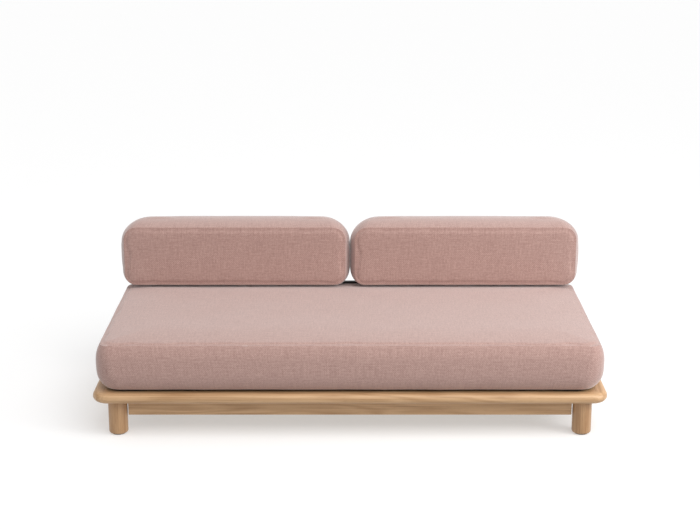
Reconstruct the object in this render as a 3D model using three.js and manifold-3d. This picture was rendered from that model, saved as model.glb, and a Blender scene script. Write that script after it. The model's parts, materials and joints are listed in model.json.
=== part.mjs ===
// A daybed: an oak frame on four turned legs, a slatted base, a loose mattress, and two back cushions that
// lift off black steel uprights.
//
// Millimetres, +Z up. The origin is on the floor, midway across the bed, and midway between the front edge
// of the frame and the rear of the back cushions. -Y is the front, and -X is the left as seen from the front.

import * as THREE from "three";
import { mergeVertices } from "three/addons/utils/BufferGeometryUtils.js";
import Module from "manifold-3d";

const wasm = await Module();
wasm.setup();

// ---------------------------------------------------------------- driving dimensions

const GAP = 0.3; // clearance between pieces that touch
const HALF_GAP = GAP / 2;

const FRAME_WIDTH = 2000;
const FRAME_DEPTH = 900;
const OVERALL_DEPTH = 960; // frame front edge to back cushion rear

const RAIL_THICKNESS = 40;
const RAIL_WIDTH = 120;
const RAIL_UNDERSIDE = 142; // height of the rails' lower face above the floor
const FRAME_CORNER_RADIUS = 65;

const LEG_RADIUS = 37.5;
const LEG_INSET_X = 93; // leg axis from the frame's side edge
const LEG_INSET_Y = 75; // leg axis from the frame's front or rear edge
const LEG_FOOT_ROUNDING = 9;
const GLIDE_THICKNESS = 3;
const GLIDE_RADIUS = 27;
const LEG_BOLT_RADIUS = 5;
const LEG_BOLT_IN_LEG = 45;
const LEG_BOLT_IN_RAIL = 26;

const APRON_THICKNESS = 25;
const APRON_HEIGHT = 64;
const APRON_LEG_GAP = 4.5; // clear gap between an apron's end and the leg beside it

const TENON_LENGTH = 50; // across the mitre
const TENON_WIDTH = 40; // along the mitre
const TENON_THICKNESS = 10;
const TENON_FROM_EDGE = 45; // tenon centre from each outer edge of the frame

const SLAT_COUNT = 10;
const SLAT_WIDTH = 90;
const SLAT_THICKNESS = 18;
const LEDGER_WIDTH = 25;
const LEDGER_HEIGHT = 20;
const LEDGER_END_CLEARANCE = 10;

const MATTRESS_WIDTH = 1980;
const MATTRESS_DEPTH = 880;
const MATTRESS_THICKNESS = 204;
const MATTRESS_FRONT = 6; // mattress front from the frame's front edge
const MATTRESS_CORNER_RADIUS = 80;
const MATTRESS_EDGE_RADIUS = 55;

const CUSHION_WIDTH = 986;
const CUSHION_DEPTH = 205;
const CUSHION_HEIGHT = 286;
const CUSHION_CENTRE_GAP = 4; // between the two back cushions
const CUSHION_CORNER_RADIUS = 85;
const CUSHION_EDGE_RADIUS = 30;
const CUSHION_OVER_MATTRESS = 0.7; // air between the mattress and the cushions above it

const COVER_THICKNESS = 2;

const ZIP_WIDTH = 8;
const MATTRESS_ZIP_LENGTH = 1400;
const CUSHION_ZIP_LENGTH = 700;

const UPRIGHT_WIDTH = 40;
const UPRIGHT_THICKNESS = 6;
const UPRIGHT_TOP = 560; // height of the uprights' tips above the floor
const UPRIGHT_FROM_EDGE = 3; // upright's rear face from the frame's rear edge
const UPRIGHT_TIP_RADIUS = 12;
const UPRIGHT_BEND_RADIUS = 8;
const UPRIGHT_FOOT_LENGTH = 75;
const UPRIGHT_SPACING = 560; // between the two uprights of one cushion
const SCREW_RADIUS = 4;
const SCREW_HEAD_RADIUS = 8;
const SCREW_LENGTH = 34;
const SCREW_FROM_BEND = 45; // screw's axis from the upright's rear face

const BACK_BAR_LENGTH = 1760;
const BACK_BAR_SIZE = 25;
const BACK_BAR_WALL = 2;
const BACK_BAR_TOP = 373;

const BOARD_WIDTH = 860;
const BOARD_HEIGHT = 230;
const BOARD_THICKNESS = 15;
const BOARD_ABOVE_BASE = 24; // board's lower edge above the cushion's underside
const SLEEVE_WALL = 2;
const SLEEVE_CLEARANCE = 1; // around the upright inside the sleeve
const SLEEVE_ABOVE_BASE = 6;

// ---------------------------------------------------------------- derived places

const FRONT = -OVERALL_DEPTH / 2; // the frame's front edge
const FRAME_CENTRE_Y = FRONT + FRAME_DEPTH / 2;
const FRAME_REAR = FRONT + FRAME_DEPTH;
const RAIL_TOP = RAIL_UNDERSIDE + RAIL_THICKNESS;
const MATTRESS_BASE = RAIL_TOP + GAP;
const MATTRESS_TOP = MATTRESS_BASE + MATTRESS_THICKNESS;
const CUSHION_BASE = MATTRESS_TOP + CUSHION_OVER_MATTRESS;
const CUSHION_CENTRE_X = (CUSHION_CENTRE_GAP + CUSHION_WIDTH) / 2;
const CUSHION_CENTRE_Y = (OVERALL_DEPTH - CUSHION_DEPTH) / 2;
const UPRIGHT_REAR = FRAME_REAR - UPRIGHT_FROM_EDGE;
const LEG_X = FRAME_WIDTH / 2 - LEG_INSET_X;
const LEG_Y = FRAME_DEPTH / 2 - LEG_INSET_Y; // from the frame's centre

// ---------------------------------------------------------------- materials

function finish(color, roughness, metalness = 0) {
  return new THREE.MeshStandardMaterial({ color, roughness, metalness });
}

const OAK = finish(0xc49a68, 0.5);
const BIRCH = finish(0xdfc59a, 0.65);
const FABRIC = finish(0xbf9f97, 0.95);
const FOAM = finish(0xe9dfc0, 0.95);
const FELT = finish(0x4a423c, 1);
const BLACK_STEEL = finish(0x17181a, 0.45, 0.6);
const ZINC_STEEL = finish(0xb4b8bb, 0.35, 0.9);
const ZIP_TAPE = finish(0xa98a82, 0.8);

// ---------------------------------------------------------------- solids

// A closed geometry as a manifold-3d solid.
function solidOf(geometry) {
  const bare = geometry.clone();
  bare.deleteAttribute("normal");
  bare.deleteAttribute("uv");
  const merged = mergeVertices(bare, 1e-3);
  const vertProperties = merged.attributes.position.array;
  const triVerts = new Uint32Array(merged.index.array);
  return new wasm.Manifold(new wasm.Mesh({ numProp: 3, vertProperties, triVerts }));
}

// A manifold-3d solid as a flat-shaded geometry.
function geometryOf(solid) {
  const { numProp, numVert, vertProperties, triVerts } = solid.getMesh();
  const position = new Float32Array(numVert * 3);
  for (let i = 0; i < numVert; i++) position.set(vertProperties.subarray(i * numProp, i * numProp + 3), i * 3);
  const indexed = new THREE.BufferGeometry()
    .setAttribute("position", new THREE.BufferAttribute(position, 3))
    .setIndex(new THREE.BufferAttribute(triVerts, 1));
  const flat = indexed.toNonIndexed();
  flat.computeVertexNormals();
  return flat;
}

// A box given by its lowest and highest corners.
function boxBetween([x0, y0, z0], [x1, y1, z1]) {
  const box = new THREE.BoxGeometry(x1 - x0, y1 - y0, z1 - z0);
  return box.translate((x0 + x1) / 2, (y0 + y1) / 2, (z0 + z1) / 2);
}

const cut = (solid, ...tools) => tools.reduce((left, tool) => left.subtract(solidOf(tool)), solid);

// A rectangle with round corners, centred on the origin.
function roundedRectangle(width, height, radius) {
  const [x, y] = [width / 2 - radius, height / 2 - radius];
  return new THREE.Shape()
    .absarc(x, y, radius, 0, Math.PI / 2)
    .absarc(-x, y, radius, Math.PI / 2, Math.PI)
    .absarc(-x, -y, radius, Math.PI, 1.5 * Math.PI)
    .absarc(x, -y, radius, 1.5 * Math.PI, 2 * Math.PI)
    .closePath();
}

// A slab with round corners in plan and round edges, centred on the origin, its thickness along Z.
function roundEdgedSlab(width, depth, thickness, cornerRadius, edgeRadius, edgeSegments = 5) {
  const straight = thickness - 2 * edgeRadius;
  return new THREE.ExtrudeGeometry(roundedRectangle(width, depth, cornerRadius), {
    depth: straight,
    bevelThickness: edgeRadius,
    bevelSize: edgeRadius,
    bevelOffset: -edgeRadius,
    bevelSegments: edgeSegments,
    curveSegments: 3,
  }).translate(0, 0, -straight / 2);
}

// A bar with slightly eased edges, centred on the origin.
function easedBar(width, depth, height, ease = 1.5) {
  const straight = height - 2 * ease;
  return new THREE.ExtrudeGeometry(roundedRectangle(width, depth, 2 * ease), {
    depth: straight,
    bevelThickness: ease,
    bevelSize: ease,
    bevelOffset: -ease,
    bevelSegments: 1,
    curveSegments: 1,
  }).translate(0, 0, -straight / 2);
}

// A solid of revolution about Z, from a profile of [radius, height] points that starts and ends on the axis.
function turned(profile, segments) {
  const moved = ([x, y], i) => i === 0 || x !== profile[i - 1][0] || y !== profile[i - 1][1];
  const points = profile.filter(moved).map(([x, y]) => new THREE.Vector2(x, y));
  return new THREE.LatheGeometry(points, segments).rotateX(Math.PI / 2);
}

// A cylinder standing on z = 0, with an optional chamfer at both ends.
function pin(radius, length, chamfer = 0, segments = 16) {
  const profile = [
    [0, 0],
    [radius - chamfer, 0],
    [radius, chamfer],
    [radius, length - chamfer],
    [radius - chamfer, length],
    [0, length],
  ];
  return turned(profile, segments);
}

function piece(name, geometry, material, x = 0, y = 0, z = 0) {
  const mesh = new THREE.Mesh(geometry, material);
  mesh.name = name;
  mesh.position.set(x, y, z);
  return mesh;
}

// ---------------------------------------------------------------- frame

// The four corners of the frame, with the sign of X and Y at each.
const CORNERS = [
  ["front_left", -1, -1],
  ["front_right", 1, -1],
  ["rear_left", -1, 1],
  ["rear_right", 1, 1],
];

// X of the four uprights: two to each back cushion.
const UPRIGHT_XS = [-1, 1].flatMap((side) =>
  [-1, 1].map((end) => side * CUSHION_CENTRE_X + (end * UPRIGHT_SPACING) / 2),
);

const LEG_BOLT_HOLE = LEG_BOLT_RADIUS + GAP;

// A countersunk screw with its head's flat top at the origin, or with a clearance, the hole that takes it.
function screw(clearance = 0) {
  const head = SCREW_HEAD_RADIUS + clearance;
  const shank = SCREW_RADIUS + clearance;
  const foot = -SCREW_LENGTH - clearance;
  const top = 2 * clearance;
  return turned([[0, foot], [shank, foot], [shank, shank - head], [head, 0], [head, top], [0, top]], 16);
}

// A loose tenon lying across the mitre at one corner, or with a clearance, the mortise that takes it.
function cornerTenon(signX, signY, clearance = 0) {
  const tenon = new THREE.BoxGeometry(
    TENON_LENGTH + 2 * clearance,
    TENON_WIDTH + 2 * clearance,
    TENON_THICKNESS + 2 * clearance,
  );
  const x = signX * (FRAME_WIDTH / 2 - TENON_FROM_EDGE);
  const y = signY * (FRAME_DEPTH / 2 - TENON_FROM_EDGE);
  return tenon.rotateZ((-signX * signY * Math.PI) / 4).translate(x, y, 0);
}

// The plan of one rail between its two mitres, as a wedge reaching past the outer edge.
function railWedge(length, width, reach) {
  const half = length / 2 - HALF_GAP * Math.SQRT2;
  const plan = new THREE.Shape([
    new THREE.Vector2(-half - reach, -reach),
    new THREE.Vector2(half + reach, -reach),
    new THREE.Vector2(half - width, width),
    new THREE.Vector2(-half + width, width),
  ]);
  return new THREE.ExtrudeGeometry(plan, { depth: 2 * RAIL_THICKNESS, bevelEnabled: false }).translate(
    0,
    0,
    -RAIL_THICKNESS,
  );
}

// Four mitred oak rails with a full round outer edge. Local Z is measured from mid thickness.
function rails() {
  const round = RAIL_THICKNESS / 2 - 0.1;
  const slab = solidOf(
    roundEdgedSlab(FRAME_WIDTH, FRAME_DEPTH, RAIL_THICKNESS, FRAME_CORNER_RADIUS, round, 7),
  );
  const mortises = CORNERS.map(([, signX, signY]) => cornerTenon(signX, signY, GAP));
  const boltHoles = CORNERS.map(([, signX, signY]) => {
    const hole = pin(LEG_BOLT_HOLE, LEG_BOLT_IN_RAIL + GAP + 1);
    return hole.translate(signX * LEG_X, signY * LEG_Y, -RAIL_THICKNESS / 2 - 1);
  });
  const footRecesses = UPRIGHT_XS.map((x) => {
    const rear = FRAME_DEPTH / 2;
    const front = rear - UPRIGHT_FROM_EDGE - UPRIGHT_FOOT_LENGTH - GAP;
    const halfWidth = UPRIGHT_WIDTH / 2 + GAP;
    const floor = RAIL_THICKNESS / 2 - UPRIGHT_THICKNESS - GAP;
    return boxBetween([x - halfWidth, front, floor], [x + halfWidth, rear + 1, RAIL_THICKNESS]);
  });
  const screwHoles = UPRIGHT_XS.map((x) => {
    const y = FRAME_DEPTH / 2 - UPRIGHT_FROM_EDGE - SCREW_FROM_BEND;
    return screw(GAP).translate(x, y, RAIL_THICKNESS / 2 - GAP);
  });
  const ring = cut(slab, ...mortises, ...boltHoles, ...footRecesses, ...screwHoles);

  const rail = (name, length, turn) => {
    const distance = turn % 180 ? FRAME_WIDTH / 2 : FRAME_DEPTH / 2;
    const wedge = railWedge(length, RAIL_WIDTH, 10)
      .translate(0, -distance, 0)
      .rotateZ(THREE.MathUtils.degToRad(turn));
    return piece(name, geometryOf(ring.intersect(solidOf(wedge))), OAK);
  };
  const group = new THREE.Group();
  group.add(
    rail("front_rail", FRAME_WIDTH, 0),
    rail("right_rail", FRAME_DEPTH, 90),
    rail("rear_rail", FRAME_WIDTH, 180),
    rail("left_rail", FRAME_DEPTH, 270),
  );
  for (const [corner, signX, signY] of CORNERS) {
    group.add(piece(`corner_tenon_${corner}`, cornerTenon(signX, signY), BIRCH));
  }
  group.position.z = RAIL_UNDERSIDE + RAIL_THICKNESS / 2;
  return group;
}

// A turned leg with its hanger bolt and felt glide. Local origin on the floor, on the leg's axis.
function leg(corner) {
  const height = RAIL_UNDERSIDE - GAP;
  const foot = GLIDE_THICKNESS + GAP;
  const arc = new THREE.Path().absarc(
    LEG_RADIUS - LEG_FOOT_ROUNDING,
    foot + LEG_FOOT_ROUNDING,
    LEG_FOOT_ROUNDING,
    -Math.PI / 2,
    0,
  );
  const rounding = arc.getPoints(3).map(({ x, y }) => [x, y]);
  const post = solidOf(turned([[0, foot], ...rounding, [LEG_RADIUS, height], [0, height]], 28));
  const boltFoot = RAIL_UNDERSIDE - LEG_BOLT_IN_LEG;
  const boltHole = pin(LEG_BOLT_HOLE, LEG_BOLT_IN_LEG + 10).translate(0, 0, boltFoot - GAP);
  const bolt = pin(LEG_BOLT_RADIUS, LEG_BOLT_IN_LEG + LEG_BOLT_IN_RAIL, 1.5);

  const group = new THREE.Group();
  group.add(
    piece(`leg_${corner}`, geometryOf(cut(post, boltHole)), OAK),
    piece(`leg_bolt_${corner}`, bolt, ZINC_STEEL, 0, 0, boltFoot),
    piece(`glide_${corner}`, pin(GLIDE_RADIUS, GLIDE_THICKNESS, 0, 24), FELT),
  );
  return group;
}

// Aprons under the rails, between the legs.
function aprons() {
  const z = RAIL_UNDERSIDE - GAP - APRON_HEIGHT / 2;
  const fromLeg = LEG_RADIUS + APRON_LEG_GAP;
  const long = 2 * (LEG_X - fromLeg);
  const short = 2 * (LEG_Y - fromLeg);
  const group = new THREE.Group();
  group.add(
    piece("front_apron", easedBar(long, APRON_THICKNESS, APRON_HEIGHT), OAK, 0, -LEG_Y, z),
    piece("rear_apron", easedBar(long, APRON_THICKNESS, APRON_HEIGHT), OAK, 0, LEG_Y, z),
    piece("left_apron", easedBar(APRON_THICKNESS, short, APRON_HEIGHT), OAK, -LEG_X, 0, z),
    piece("right_apron", easedBar(APRON_THICKNESS, short, APRON_HEIGHT), OAK, LEG_X, 0, z),
  );
  return group;
}

// Two ledgers on the inner faces of the long rails, and the slats that lie on them, flush with the rails.
function slattedBase() {
  const opening = FRAME_WIDTH - 2 * RAIL_WIDTH;
  const span = FRAME_DEPTH - 2 * RAIL_WIDTH;
  const gap = (opening - SLAT_COUNT * SLAT_WIDTH) / (SLAT_COUNT + 1);
  const ledgerZ = RAIL_TOP - SLAT_THICKNESS - GAP - LEDGER_HEIGHT / 2;
  const ledgerY = span / 2 - GAP - LEDGER_WIDTH / 2;
  const ledger = () => easedBar(opening - 2 * LEDGER_END_CLEARANCE, LEDGER_WIDTH, LEDGER_HEIGHT);

  const group = new THREE.Group();
  group.add(
    piece("front_ledger", ledger(), BIRCH, 0, -ledgerY, ledgerZ),
    piece("rear_ledger", ledger(), BIRCH, 0, ledgerY, ledgerZ),
  );
  for (let i = 0; i < SLAT_COUNT; i++) {
    const x = -opening / 2 + gap + SLAT_WIDTH / 2 + i * (SLAT_WIDTH + gap);
    const name = `slat_${String(i + 1).padStart(2, "0")}`;
    const slat = easedBar(SLAT_WIDTH, span - 2 * GAP, SLAT_THICKNESS);
    group.add(piece(name, slat, BIRCH, x, 0, RAIL_TOP - SLAT_THICKNESS / 2));
  }
  return group;
}

function frame() {
  const group = new THREE.Group();
  group.add(rails(), aprons(), slattedBase());
  for (const [corner, signX, signY] of CORNERS) {
    const made = leg(corner);
    made.position.set(signX * LEG_X, signY * LEG_Y, 0);
    group.add(made);
  }
  group.position.y = FRAME_CENTRE_Y;
  return group;
}

// ---------------------------------------------------------------- steel back support

// An L of flat steel: a foot let into the rear rail, and a tall blade with round tips. Local origin at the
// outside of the bend, on the underside of the foot.
function upright() {
  const height = UPRIGHT_TOP - RAIL_TOP + UPRIGHT_THICKNESS;
  const [t, r] = [UPRIGHT_THICKNESS, UPRIGHT_BEND_RADIUS];
  const side = new THREE.Shape()
    .moveTo(-UPRIGHT_FOOT_LENGTH, 0)
    .lineTo(-r, 0)
    .absarc(-r, r, r, -Math.PI / 2, 0)
    .lineTo(0, height)
    .lineTo(-t, height)
    .lineTo(-t, r)
    .absarc(-r, r, r - t, 0, -Math.PI / 2, true)
    .lineTo(-UPRIGHT_FOOT_LENGTH, t)
    .closePath();
  const bent = new THREE.ExtrudeGeometry(side, { depth: UPRIGHT_WIDTH, bevelEnabled: false, curveSegments: 3 })
    .translate(0, 0, -UPRIGHT_WIDTH / 2)
    .rotateY(Math.PI / 2)
    .rotateX(Math.PI / 2);
  const reach = 2 * UPRIGHT_FOOT_LENGTH;
  const face = new THREE.ExtrudeGeometry(roundedRectangle(UPRIGHT_WIDTH, 2 * height, UPRIGHT_TIP_RADIUS), {
    depth: 2 * reach,
    bevelEnabled: false,
    curveSegments: 3,
  })
    .translate(0, 0, -reach)
    .rotateX(Math.PI / 2);
  const screwHole = screw(GAP).translate(0, -SCREW_FROM_BEND, UPRIGHT_THICKNESS - GAP);
  return geometryOf(cut(solidOf(bent).intersect(solidOf(face)), screwHole));
}

// A square tube that ties the four uprights together behind the mattress.
function backBar() {
  const [half, wall] = [BACK_BAR_SIZE / 2, BACK_BAR_WALL];
  const section = roundedRectangle(BACK_BAR_SIZE, BACK_BAR_SIZE, 3);
  section.holes.push(roundedRectangle(2 * (half - wall), 2 * (half - wall), 1.2));
  const tube = new THREE.ExtrudeGeometry(section, {
    depth: BACK_BAR_LENGTH,
    bevelEnabled: false,
    curveSegments: 1,
  });
  return tube.translate(0, 0, -BACK_BAR_LENGTH / 2).rotateY(Math.PI / 2);
}

function backSupport() {
  const group = new THREE.Group();
  UPRIGHT_XS.forEach((x, i) => {
    const screwY = UPRIGHT_REAR - SCREW_FROM_BEND;
    group.add(
      piece(`upright_${i + 1}`, upright(), BLACK_STEEL, x, UPRIGHT_REAR, RAIL_TOP - UPRIGHT_THICKNESS),
      piece(`upright_screw_${i + 1}`, screw(), ZINC_STEEL, x, screwY, RAIL_TOP - GAP),
    );
  });
  const barY = UPRIGHT_REAR + GAP + BACK_BAR_SIZE / 2;
  group.add(piece("back_bar", backBar(), BLACK_STEEL, 0, barY, BACK_BAR_TOP - BACK_BAR_SIZE / 2));
  return group;
}

// ---------------------------------------------------------------- soft parts

// A round-edged slab made smaller by the same amount on every side.
function shrunkSlab(by, width, depth, thickness, ...radii) {
  const sizes = [width, depth, thickness].map((size) => size - 2 * by);
  return roundEdgedSlab(...sizes, ...radii.map((radius) => radius - by));
}

// The outside and the inside of a hollow cover, with their middle at the origin.
function shell(...sizes) {
  return [roundEdgedSlab(...sizes), shrunkSlab(COVER_THICKNESS, ...sizes)];
}

// The foam filling: the cover's hollow less a small clearance.
function filling(...sizes) {
  return shrunkSlab(COVER_THICKNESS + GAP, ...sizes);
}

// Local origin at the mattress's middle.
function mattress() {
  const plan = [MATTRESS_WIDTH, MATTRESS_DEPTH];
  const sizes = [...plan, MATTRESS_THICKNESS, MATTRESS_CORNER_RADIUS, MATTRESS_EDGE_RADIUS];
  const [outer, inner] = shell(...sizes);
  const rear = MATTRESS_DEPTH / 2;
  const zipSlot = boxBetween(
    [-MATTRESS_ZIP_LENGTH / 2, rear - 2 * COVER_THICKNESS, -ZIP_WIDTH / 2],
    [MATTRESS_ZIP_LENGTH / 2, rear + 1, ZIP_WIDTH / 2],
  );
  const zip = new THREE.BoxGeometry(MATTRESS_ZIP_LENGTH - 2 * GAP, COVER_THICKNESS, ZIP_WIDTH - 2 * GAP);

  const group = new THREE.Group();
  group.add(
    piece("mattress_cover", geometryOf(cut(solidOf(outer), inner, zipSlot)), FABRIC),
    piece("mattress_core", filling(...sizes), FOAM),
    piece("mattress_zip", zip, ZIP_TAPE, 0, rear - COVER_THICKNESS / 2, 0),
  );
  group.position.set(0, FRONT + MATTRESS_FRONT + rear, MATTRESS_BASE + MATTRESS_THICKNESS / 2);
  return group;
}

// A sleeve, closed at the top, that slides down over an upright and hangs on its tip. Local origin at the
// middle of the upright's rear face, level with the cushion's underside.
function sleeve() {
  const top = UPRIGHT_TOP - CUSHION_BASE + GAP;
  const inX = UPRIGHT_WIDTH / 2 + SLEEVE_CLEARANCE;
  const [inFront, inRear] = [-UPRIGHT_THICKNESS - SLEEVE_CLEARANCE, SLEEVE_CLEARANCE];
  const w = SLEEVE_WALL;
  const outside = boxBetween([-inX - w, inFront - w, SLEEVE_ABOVE_BASE], [inX + w, inRear + w, top + w]);
  const inside = boxBetween([-inX, inFront, 0], [inX, inRear, top]);
  return { outside, inside, solid: cut(solidOf(outside), inside) };
}

// A box grown by a clearance on every side, and reaching down to a given height.
function pocketFor(box, floor) {
  box.computeBoundingBox();
  const { min, max } = box.boundingBox;
  return boxBetween([min.x - GAP, min.y - GAP, floor], [max.x + GAP, max.y + GAP, max.z + GAP]);
}

// Local origin at the middle of the cushion's underside.
function backCushion(side, signX) {
  const name = `backrest_${side}`;
  const face = [CUSHION_WIDTH, CUSHION_HEIGHT];
  const sizes = [...face, CUSHION_DEPTH, CUSHION_CORNER_RADIUS, CUSHION_EDGE_RADIUS];
  const standing = (geometry) => geometry.rotateX(Math.PI / 2).translate(0, 0, CUSHION_HEIGHT / 2);
  const [outer, inner] = shell(...sizes).map(standing);

  const uprightY = UPRIGHT_REAR - CUSHION_CENTRE_Y; // the uprights' rear faces, in this frame
  const sleeveXs = [-UPRIGHT_SPACING / 2, UPRIGHT_SPACING / 2];
  const { outside, inside, solid } = sleeve();
  const atSleeves = (geometry) => sleeveXs.map((x) => geometry.clone().translate(x, uprightY, 0));
  const boardFront = uprightY + SLEEVE_CLEARANCE + SLEEVE_WALL + GAP;
  const board = boxBetween(
    [-BOARD_WIDTH / 2, boardFront, BOARD_ABOVE_BASE],
    [BOARD_WIDTH / 2, boardFront + BOARD_THICKNESS, BOARD_ABOVE_BASE + BOARD_HEIGHT],
  );

  const zipY = CUSHION_DEPTH / 2 - CUSHION_EDGE_RADIUS - ZIP_WIDTH;
  const zipSlot = boxBetween(
    [-CUSHION_ZIP_LENGTH / 2, zipY - ZIP_WIDTH / 2, -1],
    [CUSHION_ZIP_LENGTH / 2, zipY + ZIP_WIDTH / 2, 2 * COVER_THICKNESS],
  );
  const mouths = atSleeves(pocketFor(inside, -1));
  const cover = cut(solidOf(outer), inner, zipSlot, ...mouths);
  const foam = cut(
    solidOf(standing(filling(...sizes))),
    pocketFor(board, BOARD_ABOVE_BASE - GAP),
    ...atSleeves(pocketFor(outside, -1)),
  );
  const zip = new THREE.BoxGeometry(CUSHION_ZIP_LENGTH - 2 * GAP, ZIP_WIDTH - 2 * GAP, COVER_THICKNESS);

  const group = new THREE.Group();
  group.add(
    piece(`${name}_cover`, geometryOf(cover), FABRIC),
    piece(`${name}_foam`, geometryOf(foam), FOAM),
    piece(`${name}_board`, board, BIRCH),
    piece(`${name}_zip`, zip, ZIP_TAPE, 0, zipY, COVER_THICKNESS / 2),
    ...sleeveXs.map((x, i) => {
      return piece(`${name}_sleeve_${i + 1}`, geometryOf(solid), ZINC_STEEL, x, uprightY, 0);
    }),
  );
  group.position.set(signX * CUSHION_CENTRE_X, CUSHION_CENTRE_Y, CUSHION_BASE);
  return group;
}

// ---------------------------------------------------------------- the daybed

const daybed = new THREE.Group();
daybed.add(frame(), backSupport(), mattress(), backCushion("left", -1), backCushion("right", 1));

export default daybed;
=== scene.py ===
"""The daybed's looks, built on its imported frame: padded upholstery, oak, steel, a studio and the camera.

Metres, in the frame's own axes: +X runs along the bed, -Y is the front and +Z is up.
"""

import json
import math

import bmesh
import bpy
import numpy as np
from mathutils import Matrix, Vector, noise
from mathutils.bvhtree import BVHTree
from mathutils.kdtree import KDTree

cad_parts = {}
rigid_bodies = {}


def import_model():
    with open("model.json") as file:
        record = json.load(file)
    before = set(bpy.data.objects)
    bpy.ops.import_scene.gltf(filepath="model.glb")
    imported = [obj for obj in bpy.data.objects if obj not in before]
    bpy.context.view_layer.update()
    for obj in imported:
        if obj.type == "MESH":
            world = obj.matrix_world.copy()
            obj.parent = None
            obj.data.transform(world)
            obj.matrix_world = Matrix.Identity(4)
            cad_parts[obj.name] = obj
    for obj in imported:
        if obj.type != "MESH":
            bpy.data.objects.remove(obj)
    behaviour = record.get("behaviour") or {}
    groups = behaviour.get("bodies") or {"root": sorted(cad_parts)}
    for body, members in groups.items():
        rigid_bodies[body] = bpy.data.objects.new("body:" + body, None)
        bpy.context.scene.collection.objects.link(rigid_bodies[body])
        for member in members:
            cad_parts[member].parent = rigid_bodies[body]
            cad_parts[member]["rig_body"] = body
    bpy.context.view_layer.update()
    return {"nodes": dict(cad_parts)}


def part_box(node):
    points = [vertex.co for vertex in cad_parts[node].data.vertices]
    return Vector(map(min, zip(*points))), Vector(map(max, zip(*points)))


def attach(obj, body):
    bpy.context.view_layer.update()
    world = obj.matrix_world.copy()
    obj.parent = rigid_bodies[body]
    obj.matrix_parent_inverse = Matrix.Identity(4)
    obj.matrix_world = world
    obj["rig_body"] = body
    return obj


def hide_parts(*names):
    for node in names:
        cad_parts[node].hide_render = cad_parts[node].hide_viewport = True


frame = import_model()

MM = 0.001
QUARTER = math.pi / 2


# ---------------------------------------------------------------- places in the frame

BED_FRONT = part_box("front_rail")[0].y
RAIL_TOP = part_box("front_rail")[1].z
MATTRESS_LOW, MATTRESS_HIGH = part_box("mattress_cover")
SIDES = ("left", "right")
CORNERS = ("front_left", "front_right", "rear_left", "rear_right")
RAILS = ("front_rail", "rear_rail", "left_rail", "right_rail")
SLATS = [f"slat_{number:02d}" for number in range(1, 11)]
UPRIGHTS = [f"upright_{number}" for number in range(1, 5)]


# ---------------------------------------------------------------- meshes


def mesh_object(name, points, faces, uvs=None, smooth=True):
    """A mesh object from points and faces, with cloth coordinates for each face corner if it has them."""
    mesh = bpy.data.meshes.new(name)
    mesh.from_pydata([tuple(p) for p in points], [], [tuple(f) for f in faces])
    if uvs is not None:
        layer = mesh.uv_layers.new(name="cloth")
        layer.data.foreach_set("uv", np.asarray(uvs, np.float32).ravel())
    mesh.polygons.foreach_set("use_smooth", [smooth] * len(mesh.polygons))
    mesh.update()
    made = bpy.data.objects.new(name, mesh)
    bpy.context.scene.collection.objects.link(made)
    return made


def coordinates(mesh):
    flat = np.empty(len(mesh.vertices) * 3, np.float32)
    mesh.vertices.foreach_get("co", flat)
    return flat.reshape(-1, 3).astype(float)


def evaluated_mesh(made):
    graph = bpy.context.evaluated_depsgraph_get()
    return bpy.data.meshes.new_from_object(made.evaluated_get(graph))


def apply_modifiers(made):
    """Swaps the object's mesh for the one that its modifiers make."""
    result = evaluated_mesh(made)
    made.modifiers.clear()
    made.data = result
    return made


def drop(made):
    bpy.data.objects.remove(made, do_unlink=True)


def box_object(name, low, high, bevel=0.0):
    """A box between two corners, with eased edges."""
    low, high = Vector(low), Vector(high)
    form = bmesh.new()
    bmesh.ops.create_cube(form, size=1)
    for vertex in form.verts:
        vertex.co = Vector(a + (b - a) * (c + 0.5) for a, b, c in zip(low, high, vertex.co))
    if bevel:
        bmesh.ops.bevel(form, geom=form.edges[:], offset=bevel, segments=2, profile=0.5, affect="EDGES")
    made = mesh_object(name, [], [])
    form.to_mesh(made.data)
    form.free()
    return made


def joined(name, parts):
    """One object from several, each with its own material kept."""
    form = bmesh.new()
    materials = []
    for part in parts:
        for material in part.data.materials:
            if material not in materials:
                materials.append(material)
        first = len(form.faces)
        form.from_mesh(part.data)
        form.faces.ensure_lookup_table()
        for face in form.faces[first:]:
            own = part.data.materials[face.material_index] if part.data.materials else None
            face.material_index = materials.index(own) if own else 0
    made = mesh_object(name, [], [])
    form.to_mesh(made.data)
    form.free()
    for material in materials:
        made.data.materials.append(material)
    for part in parts:
        drop(part)
    return made


# ---------------------------------------------------------------- padded forms


def arc(centre, radius, start, end, steps):
    angles = np.linspace(start, end, steps + 1)
    return centre + radius * np.stack([np.cos(angles), np.sin(angles)], 1)


def outline_sides(half, radii, inset, steps):
    """A rounded rectangle as four runs of points, anticlockwise, that meet in the middle of its corners."""
    signs = np.array([(-1, -1), (1, -1), (1, 1), (-1, 1)])
    sides = []
    for side in range(4):
        ends = [side, (side + 1) % 4]
        centres = [signs[c] * (np.array(half) - radii[c]) for c in ends]
        facing = 3 * QUARTER + side * QUARTER
        first = arc(centres[0], radii[ends[0]] - inset, facing - QUARTER / 2, facing, steps[2])
        last = arc(centres[1], radii[ends[1]] - inset, facing, facing + QUARTER / 2, steps[2])
        straight = np.linspace(first[-1], last[0], steps[side % 2] + 1)
        sides.append(np.vstack([first, straight[1:-1], last[:-1]]))
    return sides


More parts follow.
